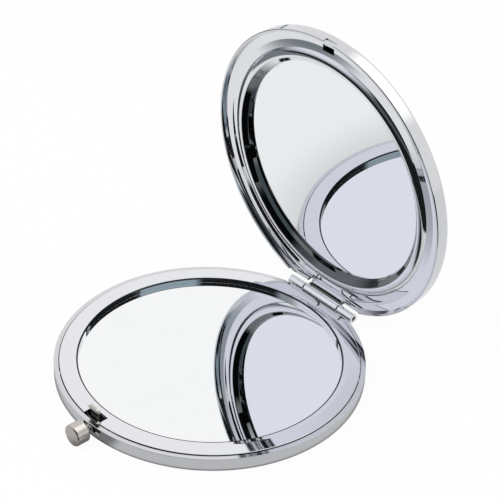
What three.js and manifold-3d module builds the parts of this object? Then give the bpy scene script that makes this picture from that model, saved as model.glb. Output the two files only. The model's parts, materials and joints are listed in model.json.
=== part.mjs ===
import * as THREE from 'three';
import { mergeVertices } from 'three/addons/utils/BufferGeometryUtils.js';
import Module from 'manifold-3d';

// Round double-mirror compact, standing open. Millimetres, +Z up, origin at the centre of the base's
// underside, hinge along X at the rear (+Y), push button at the front (-Y).
// The lid is drawn where it lies when closed, and its group then turns about the hinge.

const wasm = await Module();
wasm.setup();

// Body sizes
const bodyRadius = 35;
const baseHeight = 3.5;
const lidThickness = 3.7;
const closingGap = 0.1;
const flatInset = 1.7;
const openDegrees = 85.7;

// Sheet thicknesses
const wallSheet = 0.5;
const flangeSheet = 0.35;
const plateSheet = 0.4;
const lidBackSheet = 0.35;

// Edge radii
const baseEdgeRadius = 0.8;
const shoulderEdgeRadius = 0.35;
const lidEdgeRadius = 1.2;
const ringEdgeRadius = 0.25;

// Base ring and mirror
const flangeWidth = 1;
const ringSeam = 0.25;
const ringProud = 0.35;
const ringLipDepth = 0.8;
const ringWidth = 4.15;
const baseMirrorDepth = 1.17;
const baseMirrorThickness = 1;
const baseMirrorOverlap = 0.8;
const mirrorSeam = 0.3;
const padInset = 0.6;

// Lid ring, inner band and mirror
const lidRingRecess = 1.2;
const lidRingWidth = 3.6;
const lidGroove = 0.5;
const lidBackGap = 0.3;
const bandGap = 0.1;
const bandWidth = 3.6;
const bandCrown = 0.5;
const bandCrestInset = 1.9;
const bandLipDepth = 1;
const lidMirrorDepth = 1.4;
const lidMirrorThickness = 0.45;
const lidMirrorOverlap = 1.3;
const hingeWindowMargin = 0.92;
const hingeWindowHeight = 0.57;

// Slits that free the lid ring's tab in front of the hinge
const tabOffset = 1.4;
const tabHalfWidth = 3.4;
const tabSetback = 0.3;
const tabLength = 0.75;
const tabFlareWidth = 3.2;
const tabFlareLength = 0.6;
const slitWidth = 0.35;

// Hinge
const axisDrop = 0.1;
const barrelRadius = 1.15;
const barrelGap = 0.55;
const barrelEndInset = 0.28;
const lidKnuckleLength = 11;
const knuckleGap = 0.3;
const pinRadius = 0.5;
const pinClearance = 0.1;
const pinRecess = 0.35;
const leafSink = 0.08;
const leafTailInset = 0.7;
const leafSlotClearance = 0.2;
const baseStripReach = 4;
const lidLeafReach = 3.9;
const lidLeafGap = 0.28;

// Latch
const buttonOffset = 1.4;
const hookOffset = 0.5;
const slotOffset = 0.1;
const stemDrop = 1.05;
const buttonLength = 2.75;
const buttonStandOff = 1.65;
const buttonChamfer = 0.22;
const buttonGroundGap = 0.03;
const stemRadius = 0.55;
const stemClearance = 0.1;
const buttonTravel = 0.8;
const hookWidth = 3.6;
const hookSheet = 0.4;
const hookInset = 1.05;
const hookFootHeight = 1.2;
const hookHeadRadius = 0.5;
const hookCatch = 0.6;
const catchPlay = 0.2;
const slotWidth = 5.05;
const slotInnerClearance = 0.3;
const lidSlotInnerClearance = 0.55;
const lidSlotOuterClearance = 0.25;
const notchWidth = 7;
const notchHeight = 1.65;
const notchCornerRadius = 0.6;
const guideWidth = 6.8;
const guideSheet = 0.4;
const guideHookGap = 0.3;
const guideGap = 0.3;
const thumbNotchWidth = 3.3;
const thumbNotchHeight = 1.2;
const thumbNotchDepth = 0.25;
const latchReliefWidth = 8;

// Return spring round the stem
const springWire = 0.3;
const springCoilRadius = 0.95;
const springCurls = 2.25;
const springSeatDepth = 0.45;
const springSeatClearance = 0.2;
const springEndGap = 0.1;

// One overrun serves all cuts
const overrun = 1;

// Counts of steps
const aroundSteps = 64;
const filletSteps = 3;
const beadSteps = 5;
const roundSteps = 24;
const curlSteps = 8;
const wireSides = 5;

// Levels and radii that follow
const flatDistance = bodyRadius - flatInset;
const flatHalfChord = Math.sqrt(bodyRadius ** 2 - flatDistance ** 2);
const flangeInnerRadius = bodyRadius - flangeWidth;
const ringOuterRadius = flangeInnerRadius - ringSeam;
const openingRadius = ringOuterRadius - ringWidth;
const ringTop = baseHeight + ringProud;
const baseMirrorTop = ringTop - baseMirrorDepth;
const baseMirrorBottom = baseMirrorTop - baseMirrorThickness;
const lidRim = baseHeight + closingGap;
const lidBack = lidRim + lidThickness;
const lidBackInside = lidBack - lidBackSheet;
const lidRingFace = lidRim + lidRingRecess;
const lidRingBack = lidRingFace + plateSheet;
const lidRingRadius = bodyRadius - wallSheet - lidGroove;
const lidOpeningRadius = lidRingRadius - lidRingWidth;
const bandOuterRadius = lidOpeningRadius - bandGap;
const bandInnerRadius = bandOuterRadius - bandWidth;
const bandCrestRadius = bandOuterRadius - bandCrestInset;
const bandCrest = lidRingFace - bandCrown;
const lidMirrorFace = lidRingFace + lidMirrorDepth;
const axisDistance = flatDistance + barrelGap + barrelRadius;
const axisHeight = baseHeight - axisDrop;
const barrelLength = 2 * (flatHalfChord - barrelEndInset);
const hingeWindowHalfWidth = flatHalfChord + hingeWindowMargin;
const stemHeight = baseHeight - stemDrop;
const buttonRadius = stemHeight - buttonGroundGap;
const buttonBack = bodyRadius + buttonStandOff;
const buttonFace = buttonBack + buttonLength;
const hookDistance = ringOuterRadius - hookInset;
const guideDistance = hookDistance + guideHookGap + guideSheet;

// Geometry helpers

function toSolid(geometry) {
  geometry.deleteAttribute('normal');
  geometry.deleteAttribute('uv');
  const merged = mergeVertices(geometry);
  const corners = merged.index.array;
  const triVerts = [];
  for (let i = 0; i < corners.length; i += 3) {
    const [a, b, c] = [corners[i], corners[i + 1], corners[i + 2]];
    if (a !== b && b !== c && c !== a) triVerts.push(a, b, c);
  }
  return new wasm.Manifold(new wasm.Mesh({
    numProp: 3,
    vertProperties: Float32Array.from(merged.getAttribute('position').array),
    triVerts: Uint32Array.from(triVerts),
  }));
}

function toGeometry(solid) {
  const mesh = solid.getMesh();
  const geometry = new THREE.BufferGeometry();
  geometry.setAttribute('position', new THREE.BufferAttribute(mesh.vertProperties, 3));
  geometry.setIndex(new THREE.BufferAttribute(mesh.triVerts, 1));
  geometry.computeVertexNormals();
  return geometry;
}

// Points of a part of an ellipse in the plane of radius and height
function oval(centreR, centreZ, acrossRadius, deepRadius, fromDegrees, toDegrees, steps) {
  const points = [];
  for (let i = 0; i <= steps; i += 1) {
    const angle = THREE.MathUtils.degToRad(fromDegrees + ((toDegrees - fromDegrees) * i) / steps);
    points.push([centreR + acrossRadius * Math.cos(angle), centreZ + deepRadius * Math.sin(angle)]);
  }
  return points;
}

function arc(centreR, centreZ, radius, fromDegrees, toDegrees, steps = filletSteps) {
  return oval(centreR, centreZ, radius, radius, fromDegrees, toDegrees, steps);
}

// Turns a profile of [radius, height] points about Z
function turned(points, closed = false) {
  const profile = points.map(([r, z]) => new THREE.Vector2(r, z));
  if (closed) profile.push(profile[0].clone());
  return toSolid(new THREE.LatheGeometry(profile, aroundSteps).rotateX(Math.PI / 2));
}

function disc(radius, bottom, top) {
  return turned([[0, bottom], [radius, bottom], [radius, top], [0, top]]);
}

function block(fromX, toX, fromY, toY, fromZ, toZ) {
  const box = new THREE.BoxGeometry(toX - fromX, toY - fromY, toZ - fromZ);
  return toSolid(box.translate((fromX + toX) / 2, (fromY + toY) / 2, (fromZ + toZ) / 2));
}

// What lies in front of a plane at a distance along Y
function upTo(distance) {
  const reach = bodyRadius + overrun;
  return block(-reach, reach, -reach, distance, -overrun, lidBack + overrun);
}

// Extrudes [across, height] points along Y
function plateAlongY(points, fromY, toY) {
  const shape = new THREE.Shape(points.map(([x, z]) => new THREE.Vector2(x, z)));
  const plate = new THREE.ExtrudeGeometry(shape, { depth: toY - fromY, bevelEnabled: false });
  return toSolid(plate.rotateX(Math.PI / 2).translate(0, toY, 0));
}

// Extrudes [across, along Y] points up Z
function plateAlongZ(points, fromZ, toZ) {
  const shape = new THREE.Shape(points.map(([x, y]) => new THREE.Vector2(x, y)));
  const plate = new THREE.ExtrudeGeometry(shape, { depth: toZ - fromZ, bevelEnabled: false });
  return toSolid(plate.translate(0, 0, fromZ));
}

// Extrudes [along Y, height] points along X
function stripAlongX(points, fromX, toX) {
  const shape = new THREE.Shape(points.map(([y, z]) => new THREE.Vector2(y, z)));
  const strip = new THREE.ExtrudeGeometry(shape, { depth: toX - fromX, bevelEnabled: false });
  strip.applyMatrix4(new THREE.Matrix4().set(0, 0, 1, fromX, 1, 0, 0, 0, 0, 1, 0, 0, 0, 0, 0, 1));
  return toSolid(strip);
}

function rodAlongX(radius, fromX, toX, y, z) {
  const rod = new THREE.CylinderGeometry(radius, radius, toX - fromX, roundSteps);
  return toSolid(rod.rotateZ(Math.PI / 2).translate((fromX + toX) / 2, y, z));
}

function rodAlongY(radius, fromY, toY, x, z) {
  const rod = new THREE.CylinderGeometry(radius, radius, toY - fromY, roundSteps);
  return toSolid(rod.translate(x, (fromY + toY) / 2, z));
}

function piece(name, solid, color, roughness, metalness) {
  const material = new THREE.MeshStandardMaterial({ color, roughness, metalness });
  const mesh = new THREE.Mesh(toGeometry(solid), material);
  mesh.name = name;
  return mesh;
}

const chrome = [0xd9dce2, 0.08, 1];
const silvering = [0xf2f5f8, 0.02, 1];
const steel = [0xb9bbb8, 0.3, 1];
const nickel = [0xb2aca8, 0.35, 1];
const felt = [0x4a4a4c, 0.9, 0];

// Base shell: a shallow dish with a rounded foot edge, an inward flange and a flat at the hinge
function baseShell() {
  const inside = bodyRadius - wallSheet;
  const flangeBottom = baseHeight - flangeSheet;
  const outer = turned([
    [0, 0],
    ...arc(bodyRadius - baseEdgeRadius, baseEdgeRadius, baseEdgeRadius, -90, 0),
    ...arc(bodyRadius - shoulderEdgeRadius, baseHeight - shoulderEdgeRadius, shoulderEdgeRadius, 0, 90),
    [0, baseHeight],
  ]);
  const hollow = turned([
    [0, wallSheet],
    ...arc(bodyRadius - baseEdgeRadius, baseEdgeRadius, baseEdgeRadius - wallSheet, -90, 0),
    [inside, flangeBottom],
    [0, flangeBottom],
  ]);
  const mouth = disc(flangeInnerRadius, wallSheet + overrun, baseHeight + overrun);
  const notchTop = flangeBottom;
  const notchBottom = notchTop - notchHeight;
  const half = notchWidth / 2;
  const notch = plateAlongY([
    ...arc(buttonOffset - half + notchCornerRadius, notchBottom + notchCornerRadius,
      notchCornerRadius, 180, 270),
    ...arc(buttonOffset + half - notchCornerRadius, notchBottom + notchCornerRadius,
      notchCornerRadius, 270, 360),
    [buttonOffset + half, notchTop],
    [buttonOffset - half, notchTop],
  ], -bodyRadius - overrun, -guideDistance);
  let shell = outer.intersect(upTo(flatDistance))
    .subtract(hollow.intersect(upTo(flatDistance - wallSheet)))
    .subtract(mouth.intersect(upTo(flatDistance - flangeWidth)))
    .subtract(notch);
  for (const [fromX, toX] of leafTails()) {
    shell = shell.subtract(block(
      fromX - leafSlotClearance, toX + leafSlotClearance,
      flatDistance - wallSheet - overrun, flatDistance + overrun,
      axisHeight - barrelRadius - leafSlotClearance,
      axisHeight - barrelRadius + leafSink + plateSheet + leafSlotClearance,
    ));
  }
  return piece('base_shell', shell, ...chrome);
}

// Where the base leaf's two tails run through the flat wall
function leafTails() {
  const inner = lidKnuckleLength / 2 + knuckleGap;
  const outer = barrelLength / 2 - leafTailInset;
  return [[-outer, -inner], [inner, outer]];
}

// Base ring: stands proud of the shoulder, with a lip down to the mirror and a slot for the hook
function baseRing() {
  const underside = ringTop - plateSheet;
  const lipBottom = baseMirrorTop + mirrorSeam;
  const ring = turned([
    [openingRadius, lipBottom],
    [openingRadius + plateSheet, lipBottom],
    [openingRadius + plateSheet, underside],
    [ringOuterRadius - plateSheet, underside],
    [ringOuterRadius - plateSheet, ringTop - ringLipDepth],
    [ringOuterRadius, ringTop - ringLipDepth],
    ...arc(ringOuterRadius - ringEdgeRadius, ringTop - ringEdgeRadius, ringEdgeRadius, 0, 90),
    ...arc(openingRadius + ringEdgeRadius, ringTop - ringEdgeRadius, ringEdgeRadius, 90, 180),
  ], true);
  const slotInner = hookDistance - hookSheet - buttonTravel - slotInnerClearance;
  const slot = block(
    slotOffset - slotWidth / 2, slotOffset + slotWidth / 2,
    -bodyRadius, -slotInner, lipBottom - overrun, ringTop + overrun,
  );
  const cut = ring.intersect(upTo(flatDistance - flangeWidth - ringSeam)).subtract(slot);
  return piece('base_ring', cut, ...chrome);
}

function baseMirror() {
  const radius = openingRadius + baseMirrorOverlap;
  return piece('base_mirror', disc(radius, baseMirrorBottom, baseMirrorTop), ...silvering);
}

function basePad() {
  const radius = openingRadius + baseMirrorOverlap - padInset;
  return piece('base_pad', disc(radius, wallSheet, baseMirrorBottom), ...felt);
}

// Base leaf: two end knuckles, their tails through the flat wall and the strip that joins them inside
function baseHingeLeaf() {
  const tailBottom = axisHeight - barrelRadius + leafSink;
  const tailTop = tailBottom + plateSheet;
  const stripFront = axisDistance - baseStripReach;
  const stripRear = flatDistance - wallSheet - leafSlotClearance;
  const [left, right] = leafTails();
  let leaf = block(left[0], right[1], stripFront, stripRear, tailBottom, tailTop);
  for (const [side, [fromX, toX]] of [[-1, left], [1, right]]) {
    const inner = side * (lidKnuckleLength / 2 + knuckleGap);
    const outer = (side * barrelLength) / 2;
    leaf = leaf
      .add(block(fromX, toX, stripFront, axisDistance, tailBottom, tailTop))
      .add(rodAlongX(barrelRadius, Math.min(inner, outer), Math.max(inner, outer),
        axisDistance, axisHeight));
  }
  const bore = rodAlongX(pinRadius + pinClearance, -barrelLength, barrelLength, axisDistance, axisHeight);
  return piece('base_hinge_leaf', leaf.subtract(bore), ...chrome);
}

function hingePin() {
  const half = barrelLength / 2 - pinRecess;
  return piece('hinge_pin', rodAlongX(pinRadius, -half, half, axisDistance, axisHeight), ...steel);
}

// Lid shell: a dish with a rounded back edge, a flat at the hinge and a shallow thumb notch
function lidShell() {
  const inside = bodyRadius - wallSheet;
  const insideEdge = lidEdgeRadius - lidBackSheet;
  const outer = turned([
    [0, lidRim],
    [bodyRadius, lidRim],
    ...arc(bodyRadius - lidEdgeRadius, lidBack - lidEdgeRadius, lidEdgeRadius, 0, 90),
    [0, lidBack],
  ]);
  const hollow = turned([
    [0, lidRim - overrun],
    [inside, lidRim - overrun],
    ...arc(inside - insideEdge, lidBackInside - insideEdge, insideEdge, 0, 90),
    [0, lidBackInside],
  ]);
  const hingeWindow = block(
    -hingeWindowHalfWidth, hingeWindowHalfWidth,
    flatDistance - flangeWidth, bodyRadius + overrun, lidRim - overrun, lidRim + hingeWindowHeight,
  );
  const leafHalf = lidKnuckleLength / 2 + leafSlotClearance;
  const leafWindow = block(
    -leafHalf, leafHalf, flatDistance - flangeWidth, bodyRadius + overrun,
    lidRim - overrun, lidRingBack + lidLeafGap + plateSheet + leafSlotClearance,
  );
  const thumbNotch = block(
    buttonOffset - thumbNotchWidth / 2, buttonOffset + thumbNotchWidth / 2,
    -bodyRadius - overrun, -bodyRadius + thumbNotchDepth, lidRim - overrun, lidRim + thumbNotchHeight,
  );
  const shell = outer.intersect(upTo(flatDistance))
    .subtract(hollow.intersect(upTo(flatDistance - wallSheet)))
    .subtract(hingeWindow)
    .subtract(leafWindow)
    .subtract(thumbNotch);
  return piece('lid_shell', shell, ...chrome);
}

// Lid ring: a sunk annulus whose lip stands on the lid's back, slotted for the hook,
// with two relief slits beside the leaf
function lidRing() {
  const lipTop = lidBackInside - lidBackGap;
  const ring = turned([
    ...arc(lidOpeningRadius + ringEdgeRadius, lidRingFace + ringEdgeRadius, ringEdgeRadius, 180, 270),
    ...arc(lidRingRadius - ringEdgeRadius, lidRingFace + ringEdgeRadius, ringEdgeRadius, 270, 360),
    [lidRingRadius, lipTop],
    [lidRingRadius - plateSheet, lipTop],
    [lidRingRadius - plateSheet, lidRingBack],
    [lidOpeningRadius + plateSheet, lidRingBack],
    [lidOpeningRadius + plateSheet, lidRingBack + plateSheet],
    [lidOpeningRadius, lidRingBack + plateSheet],
  ], true);
  const slotInner = hookDistance - hookSheet - buttonTravel - lidSlotInnerClearance;
  const slotOuter = hookDistance + lidSlotOuterClearance;
  const slot = block(
    slotOffset - slotWidth / 2, slotOffset + slotWidth / 2,
    -slotOuter, -slotInner, lidRim, lipTop,
  );
  const relief = block(
    hookOffset - latchReliefWidth / 2, hookOffset + latchReliefWidth / 2,
    -bodyRadius, -hookDistance, lidRingBack, lidBack,
  );
  let cut = ring.intersect(upTo(flatDistance - wallSheet - leafSlotClearance))
    .subtract(slot)
    .subtract(relief);
  for (const slit of leafSlits()) cut = cut.subtract(slit);
  return piece('lid_ring', cut, ...chrome);
}

// The two bent slits that free the ring's tab, one each side of it
function leafSlits() {
  const front = lidOpeningRadius + tabSetback;
  const bend = front + tabLength;
  const end = bend + tabFlareLength;
  const far = tabHalfWidth + tabFlareWidth;
  const outline = [
    [tabHalfWidth, front],
    [tabHalfWidth + slitWidth, front],
    [tabHalfWidth + slitWidth, bend],
    [far, end],
    [far, end + slitWidth],
    [tabHalfWidth, bend + slitWidth],
  ];
  return [-1, 1].map((side) => plateAlongZ(
    outline.map(([across, along]) => [tabOffset + side * across, along]),
    lidRim, lidRingBack + slitWidth / 2,
  ));
}

// Inner band: a hollow bead round the lid's mirror, from a lip in the ring's opening over a crest
// down to the glass
function lidBezel() {
  const wallTop = lidMirrorFace - lidBackGap;
  const innerWidth = bandCrestRadius - bandInnerRadius;
  const innerDepth = wallTop - bandCrest;
  const lipBottom = lidRingFace + bandLipDepth;
  const band = turned([
    ...oval(bandCrestRadius, wallTop, innerWidth, innerDepth, 180, 270, beadSteps),
    ...oval(bandCrestRadius, lidRingFace, bandCrestInset, bandCrown, 270, 360, beadSteps),
    [bandOuterRadius, lipBottom],
    [bandOuterRadius - plateSheet, lipBottom],
    ...oval(bandCrestRadius, lidRingFace + plateSheet, bandCrestInset - plateSheet, bandCrown,
      360, 270, beadSteps),
    ...oval(bandCrestRadius, wallTop, innerWidth - plateSheet, innerDepth - plateSheet,
      270, 180, beadSteps),
  ], true);
  return piece('lid_bezel', band, ...chrome);
}

function lidMirror() {
  const radius = bandInnerRadius + lidMirrorOverlap;
  const mirror = disc(radius, lidMirrorFace, lidMirrorFace + lidMirrorThickness);
  return piece('lid_mirror', mirror, ...silvering);
}

// Lid leaf: the middle knuckle, and a strip that steps up behind the lid ring
function lidHingeLeaf() {
  const half = lidKnuckleLength / 2;
  const top = axisHeight + barrelRadius - leafSink;
  const bottom = top - plateSheet;
  const raisedBottom = lidRingBack + lidLeafGap;
  const step = raisedBottom - bottom;
  const bend = flatDistance - wallSheet;
  const front = axisDistance - lidLeafReach;
  const mitre = plateSheet * (Math.SQRT2 - 1);
  const strip = stripAlongX([
    [axisDistance, bottom],
    [axisDistance, top],
    [bend + step + mitre, top],
    [bend + mitre, top + step],
    [front, top + step],
    [front, raisedBottom],
    [bend, raisedBottom],
    [bend + step, bottom],
  ], -half, half);
  const knuckle = rodAlongX(barrelRadius, -half, half, axisDistance, axisHeight);
  const bore = rodAlongX(pinRadius + pinClearance, -half - overrun, half + overrun,
    axisDistance, axisHeight);
  return piece('lid_hinge_leaf', strip.add(knuckle).subtract(bore), ...chrome);
}

// Push button: a short cylinder with chamfered ends and a seat for the spring in its back
function latchButton() {
  const body = new THREE.LatheGeometry([
    [0, 0],
    [buttonRadius - buttonChamfer, 0],
    [buttonRadius, buttonChamfer],
    [buttonRadius, buttonLength - buttonChamfer],
    [buttonRadius - buttonChamfer, buttonLength],
    [0, buttonLength],
  ].map(([r, along]) => new THREE.Vector2(r, along)), roundSteps);
  const seat = rodAlongY(springCoilRadius + springWire / 2 + springSeatClearance,
    -buttonBack - springSeatDepth, -buttonBack + overrun, buttonOffset, stemHeight);
  const solid = toSolid(body.translate(buttonOffset, -buttonFace, stemHeight)).subtract(seat);
  return piece('latch_button', solid, ...nickel);
}

function latchStem() {
  const stem = rodAlongY(stemRadius, -buttonBack - springSeatDepth, -hookDistance,
    buttonOffset, stemHeight);
  return piece('latch_stem', stem, ...steel);
}

// Hook: an upright strip with a rounded head whose nose catches behind the lid ring
function latchHook() {
  const outer = -hookDistance;
  const inner = outer + hookSheet;
  const noseUnder = lidRingBack + catchPlay;
  const headCentre = outer - hookCatch + hookHeadRadius;
  const headHeight = noseUnder + hookHeadRadius;
  const outline = [
    [inner, hookFootHeight],
    [inner, noseUnder],
    ...arc(headCentre, headHeight, hookHeadRadius, 0, 180, filletSteps * 3),
    [outer - hookCatch, noseUnder + ringEdgeRadius],
    [outer, noseUnder],
    [outer, hookFootHeight],
  ];
  const hook = stripAlongX(outline, hookOffset - hookWidth / 2, hookOffset + hookWidth / 2);
  return piece('latch_hook', hook, ...steel);
}

// Guide: a plate behind the wall's notch that carries the stem
function latchGuide() {
  const half = guideWidth / 2;
  const top = baseHeight - flangeSheet - guideGap;
  const plate = block(buttonOffset - half, buttonOffset + half, -guideDistance,
    -guideDistance + guideSheet, wallSheet, top);
  const hole = rodAlongY(stemRadius + stemClearance, -bodyRadius, 0, buttonOffset, stemHeight);
  return piece('latch_guide', plate.subtract(hole), ...steel);
}

// Spring: one unbroken helix round the stem, from the wall to its seat in the button
class Helix extends THREE.Curve {
  getPoint(share, target = new THREE.Vector3()) {
    const from = bodyRadius + springWire / 2 + springEndGap;
    const to = buttonBack + springSeatDepth - springWire / 2 - springEndGap;
    const angle = share * springCurls * 2 * Math.PI;
    return target.set(
      buttonOffset + springCoilRadius * Math.cos(angle),
      -(from + (to - from) * share),
      stemHeight + springCoilRadius * Math.sin(angle),
    );
  }
}

function leastGap(curve, turns, thickness) {
  const count = turns * curlSteps * 4;
  const points = curve.getPoints(count);
  let least = Infinity;
  for (let i = 0; i <= count; i += 1) {
    for (let j = i + curlSteps * 2; j <= count; j += 1) {
      least = Math.min(least, points[i].distanceTo(points[j]) - thickness);
    }
  }
  return least;
}

function latchSpring() {
  const path = new Helix();
  const section = [];
  for (let i = 0; i < wireSides; i += 1) {
    const angle = (i / wireSides) * 2 * Math.PI;
    section.push(new THREE.Vector2(Math.cos(angle), Math.sin(angle)).multiplyScalar(springWire / 2));
  }
  const wire = new THREE.ExtrudeGeometry(new THREE.Shape(section), {
    steps: Math.round(springCurls * curlSteps), bevelEnabled: false, extrudePath: path,
  });
  console.log('latch_spring least gap to itself, mm:', leastGap(path, springCurls, springWire).toFixed(2));
  return piece('latch_spring', toSolid(wire), ...steel);
}

// Assembly

const lid = new THREE.Group();
lid.add(lidShell(), lidRing(), lidBezel(), lidMirror(), lidHingeLeaf());
lid.position.set(0, -axisDistance, -axisHeight);

const lidTurn = new THREE.Group();
lidTurn.add(lid);
lidTurn.position.set(0, axisDistance, axisHeight);
lidTurn.rotation.x = -THREE.MathUtils.degToRad(openDegrees);

const base = new THREE.Group();
base.add(baseShell(), baseRing(), baseMirror(), basePad(), baseHingeLeaf(), hingePin(), latchGuide());

const latch = new THREE.Group();
latch.add(latchButton(), latchStem(), latchHook());

const compact = new THREE.Group();
compact.add(base, latch, latchSpring(), lidTurn);

export default compact;
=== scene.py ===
import json
from math import atan2, cos, pi, radians, sin, tan

import bmesh
import bpy
from mathutils import Matrix, Vector


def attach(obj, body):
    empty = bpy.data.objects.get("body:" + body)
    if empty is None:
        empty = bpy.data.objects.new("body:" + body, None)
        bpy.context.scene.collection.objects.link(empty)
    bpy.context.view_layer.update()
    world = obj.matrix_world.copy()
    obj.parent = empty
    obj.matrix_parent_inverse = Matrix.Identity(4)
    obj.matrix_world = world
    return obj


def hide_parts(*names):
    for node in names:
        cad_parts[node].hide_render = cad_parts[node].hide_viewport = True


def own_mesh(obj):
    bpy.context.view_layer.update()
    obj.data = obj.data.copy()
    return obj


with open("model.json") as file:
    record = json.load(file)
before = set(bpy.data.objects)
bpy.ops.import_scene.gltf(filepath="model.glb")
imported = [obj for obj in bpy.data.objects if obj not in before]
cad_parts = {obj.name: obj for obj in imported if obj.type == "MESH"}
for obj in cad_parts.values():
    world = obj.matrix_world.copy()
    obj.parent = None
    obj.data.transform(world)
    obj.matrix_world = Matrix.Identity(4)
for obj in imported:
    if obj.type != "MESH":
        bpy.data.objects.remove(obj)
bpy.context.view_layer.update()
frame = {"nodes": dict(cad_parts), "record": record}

mm = 0.001

# A round double-mirror compact, standing open. Profiles are in millimetres, and each mesh is scaled
# to metres when it is finished. Lid pieces are drawn where they lie when the lid is closed.

hinge = dict(y=35.0, z=3.4)
lidJoint = next(j for j in frame["record"]["behaviour"]["joints"] if j["name"] == "lid_hinge")
openAngle = radians(-lidJoint["range_deg"][0])
lidTurn = (Matrix.Translation((0, hinge["y"], hinge["z"]))
           @ Matrix.Rotation(-openAngle, 4, "X")
           @ Matrix.Translation((0, -hinge["y"], -hinge["z"])))


# Camera, fitted to the photograph. Angles are in degrees, lengths in millimetres and the clip limits in
# metres; pixels is the focal length for a picture of that width.
view = dict(azimuth=46.681, elevation=34.434, roll=2.281, distance=382.107, pixels=1742.3,
            across=7.980, above=10.578, height=20.0, picture=500, sensor=36, clip=(0.01, 20))


def addCamera():
    az, el, roll = (radians(view[k]) for k in ("azimuth", "elevation", "roll"))
    ahead = Vector((-sin(az) * cos(el), cos(az) * cos(el), -sin(el)))
    right = Vector((cos(az), sin(az), 0))
    up = right.cross(ahead)
    aim = Vector((0, 0, view["height"])) + right * view["across"] + up * view["above"]
    sideways = right * cos(roll) + up * sin(roll)
    upright = up * cos(roll) - right * sin(roll)
    data = bpy.data.cameras.new("photoCamera")
    data.sensor_width = view["sensor"]
    data.lens = view["pixels"] / view["picture"] * view["sensor"]
    data.clip_start, data.clip_end = view["clip"]
    camera = bpy.data.objects.new("photoCamera", data)
    turn = Matrix((sideways, upright, -ahead)).transposed().to_4x4()
    camera.matrix_world = Matrix.Translation((aim - ahead * view["distance"]) * mm) @ turn
    bpy.context.collection.objects.link(camera)
    bpy.context.scene.camera = camera


addCamera()
print("camera set")


# A socket that takes part in Python sums
class Wire:
    def __init__(self, tree, socket):
        self.tree, self.socket = tree, socket

    def sum(self, operation, *values):
        made = self.tree.nodes.new("ShaderNodeMath")
        made.operation = operation
        for place, value in enumerate(values):
            plug(self.tree, made.inputs[place], value)
        return Wire(self.tree, made.outputs[0])

    def __add__(self, other):
        return self.sum("ADD", self, other)

    def __mul__(self, other):
        return self.sum("MULTIPLY", self, other)


def plug(tree, socket, value):
    if isinstance(value, Wire):
        tree.links.new(value.socket, socket)
    else:
        socket.default_value = value


# A material or world under construction
class Finish:
    def __init__(self, owner):
        owner.use_nodes = True
        self.owner, self.tree = owner, owner.node_tree
        self.tree.nodes.clear()

    def node(self, kind, settings=None, sockets=None, out=0):
        made = self.tree.nodes.new(kind)
        for key, value in (settings or {}).items():
            setattr(made, key, value)
        for key, value in (sockets or {}).items():
            plug(self.tree, made.inputs[key], value)
        return Wire(self.tree, made.outputs[out]) if len(made.outputs) else made

    # Object coordinates
    def place(self, scale=(1, 1, 1), turn=(0, 0, 0)):
        spot = self.node("ShaderNodeTexCoord", out=3)
        return self.node("ShaderNodeMapping", {}, {"Vector": spot, "Scale": scale, "Rotation": turn})

    def noise(self, vector, scale, detail=3, rough=0.55):
        return self.node("ShaderNodeTexNoise", {}, {"Vector": vector, "Scale": scale, "Detail": detail,
                                                    "Roughness": rough})

    # One number from vectors: LENGTH, DISTANCE or DOT_PRODUCT
    def measure(self, operation, *vectors):
        return self.node("ShaderNodeVectorMath", {"operation": operation}, dict(enumerate(vectors)), out=1)

    def along(self, vector, direction):
        return self.measure("DOT_PRODUCT", vector, Vector(direction).normalized())

    def fade(self, value, low, high, first=0.0, last=1.0):
        return self.node("ShaderNodeMapRange", {"interpolation_type": "SMOOTHSTEP"}, {
            "Value": value, "From Min": low, "From Max": high, "To Min": first, "To Max": last})

    # Black up to the start, white from the end on
    def threshold(self, value, start, end):
        made = self.node("ShaderNodeValToRGB", {}, {0: value})
        ramp = made.socket.node.color_ramp
        ramp.elements.new(1)
        for element, (place, tone) in zip(ramp.elements, ((0.0, 0), (start, 0), (end, 1))):
            element.position, element.color = place, (tone, tone, tone, 1)
        return made

    def blend(self, factor, first, second):
        return self.node("ShaderNodeMix", {"data_type": "RGBA"}, {0: factor, 6: first, 7: second}, out=2)

    def lightPath(self, *names):
        outputs = self.node("ShaderNodeLightPath").socket.node.outputs
        return [Wire(self.tree, outputs[name]) for name in names]

    def close(self, shader, target="ShaderNodeOutputMaterial"):
        self.node(target, {}, {"Surface": shader})
        return self.owner

    def closeMetal(self, tint, rough, height, strength, distance):
        bump = self.node("ShaderNodeBump", {}, {"Strength": strength, "Distance": distance, "Height": height})
        return self.close(self.node("ShaderNodeBsdfPrincipled", {}, {
            "Base Color": tint, "Metallic": 1.0, "Roughness": rough, "Normal": bump}))


def opaque(colour, by=1.0):
    return (colour[0] * by, colour[1] * by, colour[2] * by, 1)


# Hairs are (stretch, turn, noise scale, threshold)
polish = dict(cloud=180, cloudShare=0.5, stain=0.97, hairShare=0.4, hairWidth=0.08, hairDepth=-0.5,
              depth=0.00001,
              hairs=(((1, 14, 1), (0, 0, 0.5), 2600, 0.70), ((14, 1, 3), (0.2, 0, -0.3), 2300, 0.72)))
# Painted seam shadow: its dark colour and how softly it fades out and up
paintedSeamShadow = dict(colour=(0.03, 0.035, 0.038), fade=0.04, fadeUp=0.1)


# A seam shadow is painted shadow: a dark line round the edge of an opening, standing in for the shade in the
# gap there
def addSeamShadow(finish, tint, radius, height):
    t = paintedSeamShadow
    flat = finish.measure("LENGTH", finish.place(scale=(1, 1, 0)))
    tall = finish.measure("DOT_PRODUCT", finish.place(), (0, 0, 1))
    edge = finish.fade(flat, (radius - t["fade"]) * mm, (radius + t["fade"]) * mm, 1.0, 0.0)
    edge = edge * finish.fade(tall, (height - t["fadeUp"]) * mm, (height + t["fadeUp"]) * mm)
    return finish.blend(edge, tint, opaque(t["colour"]))
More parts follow.
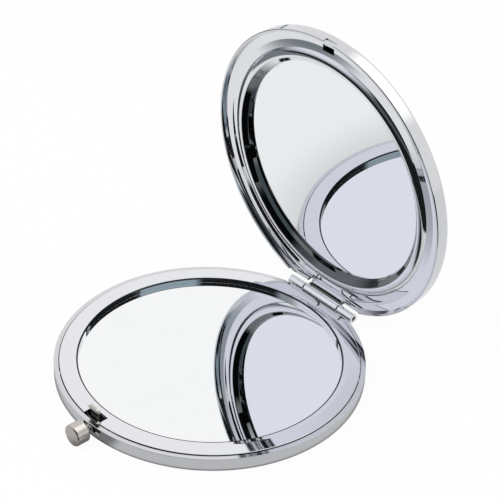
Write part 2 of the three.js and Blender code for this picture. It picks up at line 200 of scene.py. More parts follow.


# A well shade is painted shade on the inner wall of the lid's band, full strength towards the hinge. The
# radius and Y are those of the closed lid, so the coordinates are turned back first.
def addWellShade(finish, tint, radius, start, full, colour, spread):
    shut = lidTurn.inverted()
    spot = finish.place()
    back = finish.measure("DOT_PRODUCT", spot, (0, shut[1][1], shut[1][2])) + shut[1][3] * mm
    aside = finish.measure("DOT_PRODUCT", spot, (1, 0, 0))
    flat = finish.measure("LENGTH", finish.node("ShaderNodeCombineXYZ", {}, {"X": aside, "Y": back}))
    inside = finish.fade(flat, (radius - spread) * mm, (radius + spread) * mm, 1.0, 0.0)
    inside = inside * finish.fade(back, start * mm, full * mm)
    return finish.blend(inside, tint, opaque(colour))


def hairline(finish, stretch, turn, scale, start):
    streaks = finish.noise(finish.place(stretch, turn), scale, 2)
    return finish.threshold(streaks, start, start + polish["hairWidth"])


# Polished metal: faint haze patches, hairline scratches both ways, and a slightly uneven gloss
def polished(name, colour, gloss, haze=0.02, scratch=0.05, seamShadow=None, wellShade=None):
    p = polish
    finish = Finish(bpy.data.materials.new(name))
    cloud = finish.noise(finish.place(), p["cloud"], 4)
    hair = hairline(finish, *p["hairs"][0]) + hairline(finish, *p["hairs"][1])
    tint = finish.blend(cloud * p["cloudShare"], opaque(colour), opaque(colour, p["stain"]))
    rough = cloud * haze + (gloss - haze / 2) + hair * scratch * p["hairShare"]
    # The seam shadow is painted shadow, blended into the colour
    if seamShadow:
        tint = addSeamShadow(finish, tint, **seamShadow)
    # The well shade is painted shade inside the lid's band
    if wellShade:
        tint = addWellShade(finish, tint, **wellShade)
    return finish.closeMetal(tint, rough, hair * p["hairDepth"], scratch, p["depth"])


grind = dict(grain=1800, roughGrain=0.6, stain=420, low=0.9, high=1.06, spread=0.18, depth=0.00002)


# Brushed or ground steel: streaks along one axis
def brushed(name, colour, gloss, streak=(1, 1, 1), strength=0.15):
    g = grind
    finish = Finish(bpy.data.materials.new(name))
    grain = finish.noise(finish.place(scale=streak), g["grain"], 5, g["roughGrain"])
    stain = finish.noise(finish.place(), g["stain"])
    tint = finish.blend(stain, opaque(colour, g["low"]), opaque(colour, g["high"]))
    rough = grain * g["spread"] + (gloss - g["spread"] / 2)
    return finish.closeMetal(tint, rough, grain, strength, g["depth"])


felt = dict(fuzz=5200, roughFuzz=0.7, low=0.7, high=1.35, depth=0.00005, strength=0.5, rough=0.95, sheen=0.3)


def felted(name, colour):
    f = felt
    finish = Finish(bpy.data.materials.new(name))
    fuzz = finish.noise(finish.place(), f["fuzz"], 6, f["roughFuzz"])
    tint = finish.blend(fuzz, opaque(colour, f["low"]), opaque(colour, f["high"]))
    bump = finish.node("ShaderNodeBump", {}, {
        "Strength": f["strength"], "Distance": f["depth"], "Height": fuzz})
    return finish.close(finish.node("ShaderNodeBsdfPrincipled", {}, {
        "Base Color": tint, "Roughness": f["rough"], "Normal": bump, "Sheen Weight": f["sheen"]}))


ringPolish = dict(colour=(0.79, 0.795, 0.82), gloss=0.03, haze=0.015, scratch=0.04)
# Painted shadow round the base ring's opening, where shade falls into the gap by the glass
ringSeamShadow = dict(radius=29.98, height=3.6)
# Painted shade on the inner wall of the lid's band, darkest towards the hinge
bandWellShade = dict(radius=28.25, start=-24, full=-14, colour=(0.13, 0.14, 0.145), spread=0.1)

# Each finish is (slot, material)
metals = dict(
    shellChrome=("shell_chrome", polished("shellChrome", (0.66, 0.665, 0.68), 0.05, 0.02, 0.05)),
    ringChrome=("ring_chrome", polished("ringChrome", **ringPolish)),
    seamShadowChrome=("ring_chrome", polished("seamShadowChrome", **ringPolish, seamShadow=ringSeamShadow)),
    bandShadedChrome=("ring_chrome", polished("bandShadedChrome", **ringPolish, wellShade=bandWellShade)),
    hingeChrome=("hinge_chrome", polished("hingeChrome", (0.86, 0.87, 0.88), 0.06, 0.02, 0.06)),
    mirrorGlass=("mirror_glass", polished("mirrorGlass", (0.915, 0.922, 0.93), 0.012, 0.008, 0.01)),
    steel=("steel", brushed("satinSteel", (0.50, 0.50, 0.45), 0.28, (1, 1, 12))),
    hookSteel=("steel", brushed("hookSteel", (0.56, 0.56, 0.50), 0.24, (1, 1, 10), 0.05)),
    guideSteel=("steel", brushed("guideSteel", (0.10, 0.112, 0.112), 0.40, (1, 1, 12))),
    # The leaf steel is darkened as painted shade, for the shaded gap between the lid ring's tab and the
    # barrel
    shadedLeafSteel=("steel", brushed("shadedLeafSteel", (0.24, 0.24, 0.20), 0.34, (12, 1, 1), 0.05)),
    nickel=("nickel", brushed("turnedNickel", (0.57, 0.53, 0.505), 0.20, (6, 1, 6), 0.05)),
    pad=("pad", felted("darkFelt", (0.07, 0.07, 0.075))),
)
print("materials made")


# Modelling helpers, all in millimetres. Support is the distance of the short edges that hold an arc's ends,
# angles are in degrees, and beyond is the size of the blocks that cut away one side.
detail = dict(around=256, corner=6, support=0.03, merge=1e-4, softAngle=35, sharpAngle=40, normalWeight=60)
beyondBlock = dict(side=40, far=60, low=-2, high=12)
axisSpots = {
    "X": lambda a, b, c: (c, a, b),
    "Y": lambda a, b, c: (a, c, b),
    "Z": lambda a, b, c: (a, b, c),
}


# Corner points (radius, height, rounding) become an outline with arcs and short support edges
def rounded(corners, closed=True):
    outline = []
    count = len(corners)
    for i, (r, z, radius) in enumerate(corners):
        here = Vector((r, z))
        if not radius or (not closed and i in (0, count - 1)):
            outline.append(here)
            continue
        before = Vector(corners[i - 1][:2]) - here
        after = Vector(corners[(i + 1) % count][:2]) - here
        reach = before.angle(after) / 2
        back = radius / tan(reach)
        start, end = here + before.normalized() * back, here + after.normalized() * back
        centre = here + (before.normalized() + after.normalized()).normalized() * (radius / sin(reach))
        spare = detail["support"]
        if before.length > back + spare * 2:
            outline.append(start + before.normalized() * spare)
        first = atan2(*(start - centre).yx)
        sweep = atan2(*(end - centre).yx) - first
        sweep = (sweep + pi) % (2 * pi) - pi
        for step in range(detail["corner"] + 1):
            angle = first + sweep * step / detail["corner"]
            outline.append(centre + Vector((cos(angle), sin(angle))) * radius)
        if after.length > back + spare * 2:
            outline.append(end + after.normalized() * spare)
    return outline


def makePiece(name, bm):
    bmesh.ops.remove_doubles(bm, verts=bm.verts[:], dist=detail["merge"])
    bmesh.ops.recalc_face_normals(bm, faces=bm.faces[:])
    mesh = bpy.data.meshes.new(name)
    bm.to_mesh(mesh)
    bm.free()
    piece = bpy.data.objects.new(name, mesh)
    bpy.context.collection.objects.link(piece)
    return piece


# Spins an outline of (radius, height) about Z
def spun(name, corners, closed=True, steps=None):
    bm = bmesh.new()
    verts = [bm.verts.new((p[0], 0, p[1])) for p in rounded(corners, closed)]
    edges = [bm.edges.new(pair) for pair in zip(verts, verts[1:])]
    if closed:
        edges.append(bm.edges.new((verts[-1], verts[0])))
    bmesh.ops.spin(bm, geom=verts + edges, cent=(0, 0, 0), axis=(0, 0, 1), dvec=(0, 0, 0),
                   angle=2 * pi, steps=steps or detail["around"], use_merge=True, use_duplicate=False)
    return makePiece(name, bm)


# Extrudes a closed outline: axis "X" takes (y, z) points, "Y" takes (x, z), "Z" takes (x, y)
def plate(name, corners, axis, low, high):
    spot = axisSpots[axis]
    bm = bmesh.new()
    face = bm.faces.new([bm.verts.new(spot(p[0], p[1], low)) for p in rounded(corners)])
    grown = bmesh.ops.extrude_face_region(bm, geom=[face])
    shift = Vector(spot(0, 0, high - low))
    bmesh.ops.translate(bm, vec=shift, verts=[v for v in grown["geom"] if isinstance(v, bmesh.types.BMVert)])
    return makePiece(name, bm)


def block(low, high, name="cutter"):
    corners = [(low[0], low[1], 0), (high[0], low[1], 0), (high[0], high[1], 0), (low[0], high[1], 0)]
    return plate(name, corners, "Z", low[2], high[2])


# Cuts everything beyond a distance along Y
def beyond(distance, left=-beyondBlock["side"], right=beyondBlock["side"]):
    b = beyondBlock
    return block((left, distance, b["low"]), (right, b["far"], b["high"]))


def turnMesh(piece, matrix):
    piece.data.transform(matrix)
    return piece


# Turns a piece's modifiers into mesh
def applied(piece):
    bpy.context.view_layer.update()
    graph = bpy.context.evaluated_depsgraph_get()
    shaped = bpy.data.meshes.new_from_object(piece.evaluated_get(graph))
    piece.modifiers.clear()
    piece.data, old = shaped, piece.data
    bpy.data.meshes.remove(old)


def combine(piece, other, operation="DIFFERENCE"):
    step = piece.modifiers.new("combine", "BOOLEAN")
    step.object, step.operation, step.solver = other, operation, "EXACT"
    applied(piece)
    old = other.data
    bpy.data.objects.remove(other)
    bpy.data.meshes.remove(old)


# Rounds the sharp edges that a cut leaves
def soften(piece, width, segments=2):
    step = piece.modifiers.new("soften", "BEVEL")
    step.limit_method, step.angle_limit = "ANGLE", radians(detail["softAngle"])
    step.width, step.segments, step.profile, step.use_clamp_overlap = width, segments, 0.5, True
    step.miter_outer = "MITER_ARC"
    applied(piece)


# Cleans, places, scales and shades a mesh, gives it its material, hangs it on its body and hides the CAD
# parts it replaces
def finished(piece, body, metal, replaced, onLid=False):
    bm = bmesh.new()
    bm.from_mesh(piece.data)
    bmesh.ops.remove_doubles(bm, verts=bm.verts[:], dist=detail["merge"])
    bmesh.ops.dissolve_degenerate(bm, dist=detail["merge"], edges=bm.edges[:])
    for face in bm.faces:
        face.smooth = True
    bm.to_mesh(piece.data)
    bm.free()
    if onLid:
        piece.data.transform(lidTurn)
    piece.data.transform(Matrix.Scale(mm, 4))
    piece.data.set_sharp_from_angle(angle=radians(detail["sharpAngle"]))
    even = piece.modifiers.new("evenNormals", "WEIGHTED_NORMAL")
    even.keep_sharp, even.weight = True, detail["normalWeight"]
    slot, material = metals[metal]
    piece.data.materials.clear()
    piece.data.materials.append(material)
    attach(piece, body)
    if replaced:
        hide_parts(*replaced)
    return piece


def disc(name, radius, low, high, edge):
    return spun(name, [(0, low, 0), (radius, low, edge), (radius, high, edge), (0, high, 0)], closed=False)


# Base shell: the notch is the button's opening in the wall, the tails are the hinge leaf's two legs
baseSize = dict(radius=35.0, height=3.5, foot=0.8, innerFoot=0.3, shoulder=0.07, wall=0.5, flange=0.35,
                flangeWidth=1.0, flat=33.3, mouth=33.95, mouthLow=1.5, mouthHigh=5)
notch = dict(x=1.75, half=2.7, low=1.75, high=3.15, corner=0.5, outer=-37, inner=-33.0)
tails = dict(inner=5.8, outer=9.798, slot=0.2, near=31.5, far=34.5, low=2.33, high=2.73)


def baseShell():
    s = baseSize
    inside = s["radius"] - s["wall"]
    under = s["height"] - s["flange"]
    shell = spun("baseShell", [
        (0, 0, 0), (s["radius"], 0, s["foot"]), (s["radius"], s["height"], s["shoulder"]),
        (0, s["height"], 0)], False)
    combine(shell, beyond(s["flat"]))
    hollow = spun("hollow", [
        (0, s["wall"], 0), (inside, s["wall"], s["innerFoot"]), (inside, under, 0), (0, under, 0)], False)
    combine(hollow, beyond(s["flat"] - s["wall"]))
    combine(shell, hollow)
    mouth = disc("mouth", s["mouth"], s["mouthLow"], s["mouthHigh"], 0)
    combine(mouth, beyond(s["flat"] - s["flangeWidth"]))
    combine(shell, mouth)
    n = notch
    left, right = n["x"] - n["half"], n["x"] + n["half"]
    corners = [(left, n["low"], n["corner"]), (right, n["low"], n["corner"]),
               (right, n["high"], 0), (left, n["high"], 0)]
    combine(shell, plate("opening", corners, "Y", n["outer"], n["inner"]))
    t = tails
    for side in (-1, 1):
        start, end = sorted((side * (t["inner"] - t["slot"]), side * (t["outer"] + t["slot"])))
        low, high = t["low"] - t["slot"], t["high"] + t["slot"]
        combine(shell, block((start, t["near"], low), (end, t["far"], high)))
    soften(shell, width=0.05)
    finished(shell, "base", "shellChrome", ["base_shell"])


baseShell()
print("base shell done")

# Base ring: level from the opening to the crown, then it falls a little to the outer edge
ring = dict(outer=33.75, opening=29.6, top=3.85, sheet=0.4, lip=0.8, edge=0.25, outEdge=0.12, lipEdge=0.05,
            foot=2.70, flat=32.05, crown=30.9, bend=6, fall=0.12)
hookSlot = dict(left=-2.425, right=2.625, outer=-36, inner=-31.2, low=2, high=5)
baseGlass = dict(radius=30.4, low=1.68, high=2.68, edge=0.08)


def baseRing():
    s = ring
    under = s["top"] - s["sheet"]
    within = s["outer"] - s["sheet"]
    lip = s["top"] - s["lip"]
    piece = spun("baseRing", [
        (s["opening"], s["foot"], s["lipEdge"]), (s["opening"], s["top"], s["edge"]),
        (s["crown"], s["top"], s["bend"]), (s["outer"], s["top"] - s["fall"], s["outEdge"]),
        (s["outer"], lip, s["lipEdge"]), (within, lip, s["lipEdge"]), (within, under - s["fall"], 0),
        (s["crown"], under, 0), (s["opening"] + s["sheet"], under, 0),
        (s["opening"] + s["sheet"], s["foot"], s["lipEdge"])])
    combine(piece, beyond(s["flat"]))
    h = hookSlot
    combine(piece, block((h["left"], h["outer"], h["low"]), (h["right"], h["inner"], h["high"])))
    soften(piece, width=0.06)
    finished(piece, "base", "seamShadowChrome", ["base_ring"])


baseRing()
finished(disc("baseMirror", **baseGlass), "base", "mirrorGlass", ["base_mirror"])
print("base ring and mirror done")

# Lid shell: the wall leans in towards the back. The window lets the base's flat wall in, the leaf cut
# clears the hinge leaf, and the thumb notch is at the front.
lidSize = dict(rim=3.6, back=7.3, mouth=34.42, mouthLow=2.5, draft=0.25, flatWall=0.5, sheet=0.4, edge=1.2,
               innerEdge=0.6, rimEdge=0.2, cutEdge=0.1)
window = dict(half=11.7, near=32.3, far=36, top=4.17)
leafCut = dict(half=5.7, near=32.3, far=36, top=6.08)
thumb = dict(left=-0.25, right=3.05, outer=-36, depth=0.25, top=4.8)


def lidShell():
    s = lidSize
    edge, low = baseSize["radius"], s["mouthLow"]
    roof = s["back"] - s["sheet"]
    mouth = s["mouth"] + s["draft"] * (s["rim"] - low)
    inside = s["mouth"] - s["draft"] * (roof - s["rim"])
    shell = spun("lidShell", [
        (0, s["rim"], 0), (edge, s["rim"], s["rimEdge"]), (edge, s["back"], s["edge"]), (0, s["back"], 0)],
        False)
    combine(shell, beyond(baseSize["flat"]))
    hollow = spun("hollow", [
        (0, low, 0), (mouth, low, 0), (inside, roof, s["innerEdge"]), (0, roof, 0)], False)
    combine(hollow, beyond(baseSize["flat"] - s["flatWall"]))
    combine(shell, hollow)
    for cut in (window, leafCut):
        combine(shell, block((-cut["half"], cut["near"], low), (cut["half"], cut["far"], cut["top"])))
    t = thumb
    combine(shell, block((t["left"], t["outer"], low), (t["right"], t["depth"] - edge, t["top"])))
    soften(shell, s["cutEdge"], segments=3)
    finished(shell, "lid", "shellChrome", ["lid_shell"], onLid=True)


# Lid ring: dished, so it falls a little from the wall, then rises to the edge by the band. It is straight
# along the hinge, with a tab that runs on over the leaf. The relief and the pocket thin it from behind.
lidRing = dict(outer=34.15, opening=30.4, face=4.8, valley=5.13, valleyAt=32.4, valleyBend=2.2, crease=4.9,
               back=5.6, sheet=0.4, edge=0.05, lipOuter=33.6, lipTop=6.6, flat=32.6, tab=33.75, tabLow=-4.9,
               tabHigh=6.2, tabSpare=1)
lidSlot = dict(left=-1.75, right=1.7, outer=-32.95, inner=-31.4, low=3.6, high=6.9)
relief = dict(left=-3.5, right=4.5, outer=-35, inner=-32.7, low=5.25, high=7.3)
pocket = dict(left=-6.4, right=6.4, outer=30.9, inner=34, low=5.3, high=7.3)
slit = dict(x=1.4, half=3.4, front=30.7, bend=31.45, end=32.05, far=6.6, width=0.35, low=3.6, high=5.8)


def lidRingPiece():
    s = lidRing
    within = s["lipOuter"] - s["sheet"]
    piece = spun("lidRing", [
        (s["opening"], s["back"], s["edge"]), (s["opening"], s["crease"], s["edge"]),
        (s["valleyAt"], s["valley"], s["valleyBend"]), (s["outer"], s["face"], s["edge"]),
        (s["outer"], s["back"], 0), (s["lipOuter"], s["back"], 0), (s["lipOuter"], s["lipTop"], 0),
        (within, s["lipTop"], 0), (within, s["back"] - s["edge"], 0)])
    combine(piece, beyond(s["flat"], right=s["tabLow"]))
    combine(piece, beyond(s["flat"], left=s["tabHigh"]))
    combine(piece, beyond(s["tab"], s["tabLow"] - s["tabSpare"], s["tabHigh"] + s["tabSpare"]))
    for cut in (lidSlot, relief, pocket):
        cutter = block((cut["left"], cut["outer"], cut["low"]), (cut["right"], cut["inner"], cut["high"]))
        combine(piece, cutter)
    t = slit
    near, behind = t["half"] + t["width"], t["width"]
    for side in (-1, 1):
        outline = [(t["half"], t["front"]), (near, t["front"]), (near, t["bend"]), (t["far"], t["end"]),
                   (t["far"], t["end"] + behind), (t["half"], t["bend"] + behind)]
        corners = [(t["x"] + side * a, b, 0) for a, b in outline]
        combine(piece, plate("slit", corners if side > 0 else corners[::-1], "Z", t["low"], t["high"]))
    soften(piece, width=0.04)
    finished(piece, "lid", "ringChrome", ["lid_ring"], onLid=True)


# Lid band: a hollow bead with a lip in the ring's opening, a low slope up to the crest, then down to the
# glass. Fold and fit shift the back of the side and the top of the inner wall, in sheet thicknesses.
band = dict(outer=30.3, crease=5.02, crestAt=28.4, crest=4.25, inner=26.7, sheet=0.4, lip=5.8, wallTop=6.12,
            turnRadius=0.6, turn=40, side=1.29, wallBend=0.3, steps=12, fold=(0.8, 0.6), fit=1.1)
lidGlass = dict(radius=28.0, low=6.2, high=6.65, edge=0.05)


def lidBand():
    s = band
    steps, thin, top, crest = s["steps"], s["sheet"], s["crestAt"], s["crest"]
    rise, width = s["crease"] - crest, s["outer"] - top
    slope = [(top + width * i / steps, crest + rise * (i / steps) ** 2, 0) for i in range(steps + 1)]
    turn = [radians(s["turn"]) * i / steps for i in range(1, steps + 1)]
    radius = s["turnRadius"]
    inner = [(top - radius * sin(a), crest + radius * (1 - cos(a)), 0) for a in turn]
    run = Vector((cos(turn[-1]), -sin(turn[-1]))) * s["side"]
    inner.append((inner[-1][0] - run.x, inner[-1][1] - run.y, s["wallBend"]))
    inner.append((s["inner"], s["wallTop"], 0))
    radius = s["turnRadius"] - thin
    behind = [(top - radius * sin(a), crest + thin + radius * (1 - cos(a)), 0) for a in turn]
    behind.append((inner[-2][0] + thin * s["fold"][0], inner[-2][1] + thin * s["fold"][1], 0))
    behind.append((s["inner"] + thin * s["fit"], s["wallTop"], 0))
    under = [(s["outer"] - thin, s["crease"] + thin, 0), (top, crest + thin, 0)]
    lip = [(s["outer"], s["lip"], 0), (s["outer"] - thin, s["lip"], 0)]
    piece = spun("lidBezel", inner[::-1] + slope + lip + under + behind)
    finished(piece, "lid", "bandShadedChrome", ["lid_bezel"], onLid=True)


lidShell()
lidRingPiece()
lidBand()
finished(disc("lidMirror", **lidGlass), "lid", "mirrorGlass", ["lid_mirror"], onLid=True)
print("lid done")

# Hinge: solid is the hole of a tube that is drilled later or only cuts
barrel = dict(radius=1.15, bore=0.6, solid=0.02, edge=0.08, end=10.498, knuckle=5.5, gap=0.3, drill=20,
              steps=64)
standX = Matrix.Rotation(pi / 2, 4, "Y")  # turns Z into X
atHinge = Matrix.Translation((0, hinge["y"], hinge["z"]))


def tube(name, low, high, radius, bore):
    edge = barrel["edge"]
    piece = spun(name, [(bore, low, edge), (radius, low, edge), (radius, high, edge), (bore, high, edge)],
                 steps=barrel["steps"])
    return turnMesh(piece, atHinge @ standX)


baseLeafSize = dict(front=31.0, back=32.6, root=35.0)


def baseLeaf():
    low, high = tails["low"], tails["high"]
    s = baseLeafSize
    leaf = block((-tails["outer"], s["front"], low), (tails["outer"], s["back"], high), "baseHingeLeaf")
    for side in (-1, 1):
        start, end = sorted((side * tails["inner"], side * tails["outer"]))
        combine(leaf, block((start, s["front"], low), (end, s["root"], high)), "UNION")
        start, end = sorted((side * (barrel["knuckle"] + barrel["gap"]), side * barrel["end"]))
        combine(leaf, tube("knuckle", start, end, barrel["radius"], barrel["solid"]), "UNION")
    bore, reach = barrel["bore"], barrel["drill"]
    drill = spun("drill", [(0, -reach, 0), (bore, -reach, 0), (bore, reach, 0), (0, reach, 0)], False,
                 barrel["steps"])
    combine(leaf, turnMesh(drill, atHinge @ standX))
    finished(leaf, "base", "hingeChrome", ["base_hinge_leaf"])


# The lid's leaf rises beside the barrel, then turns forwards under the ring. Its dark steel is painted shade
# for the gap it sits in.
leafPlate = dict(root=34.5, foot=3.6, raised=5.48, sheet=0.4, end=31.1, bend=0.3, innerBend=0.1, bite=0.2,
                 spare=1)


def lidLeaf():
    s = leafPlate
    half = barrel["knuckle"]
    over = s["raised"] + s["sheet"]
    front = s["root"] - s["sheet"]
    leaf = plate("lidHingeLeaf", [
        (front, s["foot"], 0), (s["root"], s["foot"], 0), (s["root"], over, s["bend"]),
        (s["end"], over, 0), (s["end"], s["raised"], 0), (front, s["raised"], s["innerBend"])],
        "X", -half, half)
    reach = half + s["spare"]
    combine(leaf, tube("core", -reach, reach, barrel["radius"] - s["bite"], barrel["solid"]))
    knuckle = tube("lidKnuckle", -half, half, barrel["radius"], barrel["bore"])
    finished(knuckle, "lid", "hingeChrome", [], onLid=True)
    finished(leaf, "lid", "shadedLeafSteel", ["lid_hinge_leaf"], onLid=True)


pinSize = dict(radius=0.5, end=10.148, edge=0.12, steps=48)


def hingePin():
    radius, end, edge = pinSize["radius"], pinSize["end"], pinSize["edge"]
    pin = spun("hingePin", [(0, -end, 0), (radius, -end, edge), (radius, end, edge), (0, end, 0)], False,
               pinSize["steps"])
    finished(turnMesh(pin, atHinge @ standX), "base", "steel", ["hinge_pin"])


baseLeaf()
lidLeaf()
hingePin()
print("hinge done")

# Latch: the button and the stem are spun about Z and then turned to lie along Y
latch = dict(x=1.4, z=2.45, stem=0.55, stemEnd=32.7, stemSteps=48, edge=0.05, button=2.48, back=36.65,
             face=39.8, chamfer=0.32, seat=0.45, seatRadius=1.3, aside=-0.25, above=0.08, steps=96)
hook = dict(left=-1.55, right=1.5, shoulder=0.9, outer=-32.7, inner=-32.3, foot=1.2, under=5.3, lift=0.25,
            head=0.45, centre=-32.85, top=5.75, steps=20)
hookTrim = dict(side=0.1, above=0.01, outer=-35, inner=-31)
alongY = Matrix.Translation((latch["x"], 0, latch["z"])) @ Matrix.Rotation(pi / 2, 4, "X")  # Z becomes -Y


def latchButton():
    s = latch
    seat = s["back"] + s["seat"]
    button = spun("latchButton", [
        (0, seat, 0), (s["seatRadius"], seat, s["edge"]), (s["seatRadius"], s["back"], s["edge"]),
        (s["button"], s["back"], s["chamfer"]), (s["button"], s["face"], s["chamfer"]), (0, s["face"], 0)],
        False, s["steps"])
    turnMesh(button, Matrix.Translation((s["aside"], 0, s["above"])) @ alongY)
    finished(button, "latch", "nickel", ["latch_button"])


def latchStem():
    s = latch
    end = s["back"] + s["seat"]
    stem = spun("latchStem", [
        (0, s["stemEnd"], 0), (s["stem"], s["stemEnd"], s["edge"]), (s["stem"], end, s["edge"]), (0, end, 0)],
        False, s["stemSteps"])
    finished(turnMesh(stem, alongY), "latch", "steel", ["latch_stem"])


# The hook is a sheet with a rolled head, and the trim rounds its two top corners
def latchHook():
    s = hook
    angles = [pi * i / s["steps"] for i in range(s["steps"] + 1)]
    head = [(s["centre"] + s["head"] * cos(a), s["top"] + s["head"] * sin(a), 0) for a in angles]
    outline = [(s["inner"], s["foot"], 0), (s["inner"], s["under"], 0)] + head + [
        (s["centre"] - s["head"], s["under"] + s["lift"], 0), (s["outer"], s["under"], 0),
        (s["outer"], s["foot"], 0)]
    piece = plate("latchHook", outline, "X", s["left"], s["right"])
    t = hookTrim
    peak = s["top"] + s["head"] + t["above"]
    left, right = s["left"] - t["side"], s["right"] + t["side"]
    corners = [(left, 0, 0), (right, 0, 0), (right, peak, s["shoulder"]), (left, peak, s["shoulder"])]
    combine(piece, plate("trim", corners, "Y", t["outer"], t["inner"]), "INTERSECT")
    soften(piece, width=0.06)
    finished(piece, "latch", "hookSteel", ["latch_hook"])


spring = dict(wire=0.3, coil=0.95, curls=2.25, start=35.25, end=36.85, sides=12, steps=24)


def latchSpring():
    s = spring
    bm = bmesh.new()
    section = Matrix.Translation((s["coil"], 0, s["start"])) @ Matrix.Rotation(pi / 2, 4, "X")
    bmesh.ops.create_circle(bm, cap_ends=True, segments=s["sides"], radius=s["wire"] / 2, matrix=section)
    steps = round(s["curls"] * s["steps"])
    pitch = Vector((0, 0, (s["end"] - s["start"]) / steps))
    bmesh.ops.spin(bm, geom=bm.faces[:], cent=(0, 0, 0), axis=(0, 0, 1), dvec=pitch,
                   angle=s["curls"] * 2 * pi, steps=steps, use_merge=False, use_duplicate=False)
    piece = turnMesh(makePiece("latchSpring", bm), alongY)
    finished(piece, "base", "steel", ["latch_spring"])
    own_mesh(piece)


latchButton()
latchStem()
latchHook()
latchSpring()
print("latch done")

# CAD nodes that show as they are, with a finer material
for node, metal in (("base_pad", "pad"), ("latch_guide", "guideSteel")):
    mesh = frame["nodes"][node].data
    mesh.materials.clear()
    mesh.materials.append(metals[metal][1])


# Floor, in metres. Contact, close and underButton are (start, end, shade there): soft shadows round a point.
studio = dict(floorSize=1.2, floor=0.86, floorSpread=0.02, grain=900, floorCamera=0.94,
              white=(0.895, 0.905, 0.915), teal=(0.20, 0.225, 0.24), black=(0.012, 0.013, 0.014),
              contact=(0.0350, 0.0364, 0.38), close=(0.036, 0.058, 0.76), closeAt=(0.004, -0.005, 0),
              underButton=(0.0025, 0.0065, 0.35), buttonAt=(0.003, -0.0375, 0), outside=(0.0415, 0.0435))
hingeShade = dict(centre=(-0.0015, 0.0358, 0), half=(0.009, 0.0016), fade=0.0014, seen=0.3)
# Parts of the floor that reflections see darker: direction, distance, fade, colour, outside the base only
patches = (((-0.73, -0.68, 0), 0.12, 0.015, studio["teal"], False),
           ((0.62, -0.78, 0), 0.036, 0.003, studio["black"], True),
           ((0.35, -0.94, 0), 0.08, 0.015, studio["black"], False))


# The camera sees a white floor, and a weak shadow under the hinge. Reflections see a white sheet, shaded
# close to the object, which ends in a dim room to the left and a dark one in front.
def addStage():
    bm = bmesh.new()
    bmesh.ops.create_grid(bm, x_segments=1, y_segments=1, size=studio["floorSize"])
    floor = makePiece("floor", bm)
    s = studio
    finish = Finish(bpy.data.materials.new("paleFloor"))
    seen, shiny = finish.lightPath("Is Camera Ray", "Is Glossy Ray")
    spot = finish.node("ShaderNodeTexCoord", out=3)
    away = finish.measure("LENGTH", spot)
    level = finish.fade(away, *s["contact"])
    for shadow, centre in (("close", "closeAt"), ("underButton", "buttonAt")):
        level = level * finish.fade(finish.measure("DISTANCE", spot, s[centre]), *s[shadow])
    room = finish.blend(level, (0, 0, 0, 1), opaque(s["white"]))
    for direction, start, fade, colour, outside in patches:
        inside = finish.fade(finish.along(spot, direction), start - fade, start + fade)
        if outside:
            inside = inside * finish.fade(away, *s["outside"])
        room = finish.blend(inside, room, opaque(colour))
    h = hingeShade
    offset = finish.node("ShaderNodeVectorMath", {"operation": "SUBTRACT"}, {0: spot, 1: h["centre"]})
    offset = finish.node("ShaderNodeVectorMath", {"operation": "ABSOLUTE"}, {0: offset})
    shade = shiny + seen * h["seen"]
    for axis, half in zip(((1, 0, 0), (0, 1, 0)), h["half"]):
        shade = shade * finish.fade(finish.along(offset, axis), half - h["fade"], half + h["fade"], 1.0, 0.0)
    room = finish.blend(shade, finish.blend(seen, room, (1, 1, 1, 1)), opaque(s["black"]))
    grey = [opaque((1, 1, 1), tone) for tone in (s["floor"], s["floor"] + s["floorSpread"])]
    soft = finish.node("ShaderNodeBsdfDiffuse", {}, {
        "Color": finish.blend(finish.noise(finish.place(), s["grain"]), *grey)})
    lit = finish.node("ShaderNodeEmission", {}, {"Color": room, "Strength": 1.0})
    share = seen * s["floorCamera"] + shiny
    finish.close(finish.node("ShaderNodeMixShader", {}, {0: share, 1: soft, 2: lit}))
    floor.data.materials.append(finish.owner)


# Lamps are (place, size, watts), and they aim at the middle of the object
lamps = dict(topLamp=((-0.25, -0.35, 0.75), 0.6, 2.2), sideLamp=((0.55, -0.2, 0.6), 0.5, 1.0))
lampAim = Vector((0, 0, 0.02))


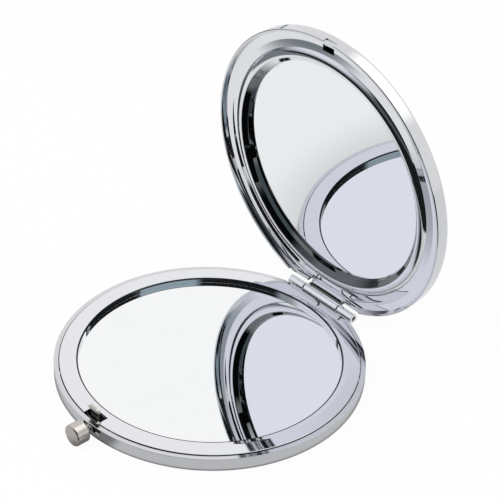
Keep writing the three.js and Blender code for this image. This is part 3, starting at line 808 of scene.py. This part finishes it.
def addLamps():
    for name, (place, size, watts) in lamps.items():
        lamp = bpy.data.lights.new(name, "AREA")
        lamp.shape, lamp.size, lamp.energy = "DISK", size, watts
        holder = bpy.data.objects.new(name, lamp)
        spot = Vector(place)
        turn = (spot - lampAim).to_track_quat("Z", "Y").to_matrix().to_4x4()
        holder.matrix_world = Matrix.Translation(spot) @ turn
        holder.visible_glossy = False
        bpy.context.collection.objects.link(holder)


# The low band is a dim strip behind the photographer. Heights and side are shares of a unit direction.
lowBand = dict(top=0.36, fade=0.06, direction=(-0.55, -0.83, 0), side=(0.45, 0.6), colour=(0.09, 0.10, 0.115))
softPower = 0.75
# Each dark or bright zone of the room is (direction, half angle, fade, colour)
zones = (((-0.60, -0.53, 0.60), 34, 12, (0.84, 0.855, 0.93)),
         ((0.10, 0.57, 0.80), 22, 8, (1.7, 1.7, 1.67)),
         ((0.75, -0.20, 0.63), 36, 6, (0.35, 0.44, 0.49)),
         ((-0.22, -0.79, 0.575), 12, 6, (0.32, 0.35, 0.38)),
         ((0.329, -0.757, 0.565), 30, 4, studio["black"]))


# White walls all round, with zones of other tones that only reflections see
def addRoom():
    s = lowBand
    finish = Finish(bpy.data.worlds.new("whiteRoom"))
    camera, shiny, through = finish.lightPath("Is Camera Ray", "Is Glossy Ray", "Is Transmission Ray")
    seen = camera + shiny + through
    seen = seen.sum("MINIMUM", seen, 1.0)
    way = finish.node("ShaderNodeTexCoord")
    low = (finish.fade(finish.along(way, (0, 0, 1)), s["top"] - s["fade"], s["top"] + s["fade"], 1.0, 0.0)
           * finish.fade(finish.along(way, s["direction"]), *s["side"]))
    tone = finish.blend(low * shiny, (1, 1, 1, 1), opaque(s["colour"]))
    for direction, half, fade, colour in zones:
        low, high = cos(radians(half + fade)), cos(radians(half - fade))
        inside = finish.fade(finish.along(way, direction), low, high)
        tone = finish.blend(inside * shiny, tone, opaque(colour))
    power = seen * (1 - softPower) + softPower
    sky = finish.node("ShaderNodeBackground", {}, {"Color": tone, "Strength": power})
    finish.close(sky, "ShaderNodeOutputWorld")
    bpy.context.scene.world = finish.owner


addStage()
addLamps()
addRoom()
bpy.context.scene.view_settings.view_transform = "Standard"
print("stage and lights set")
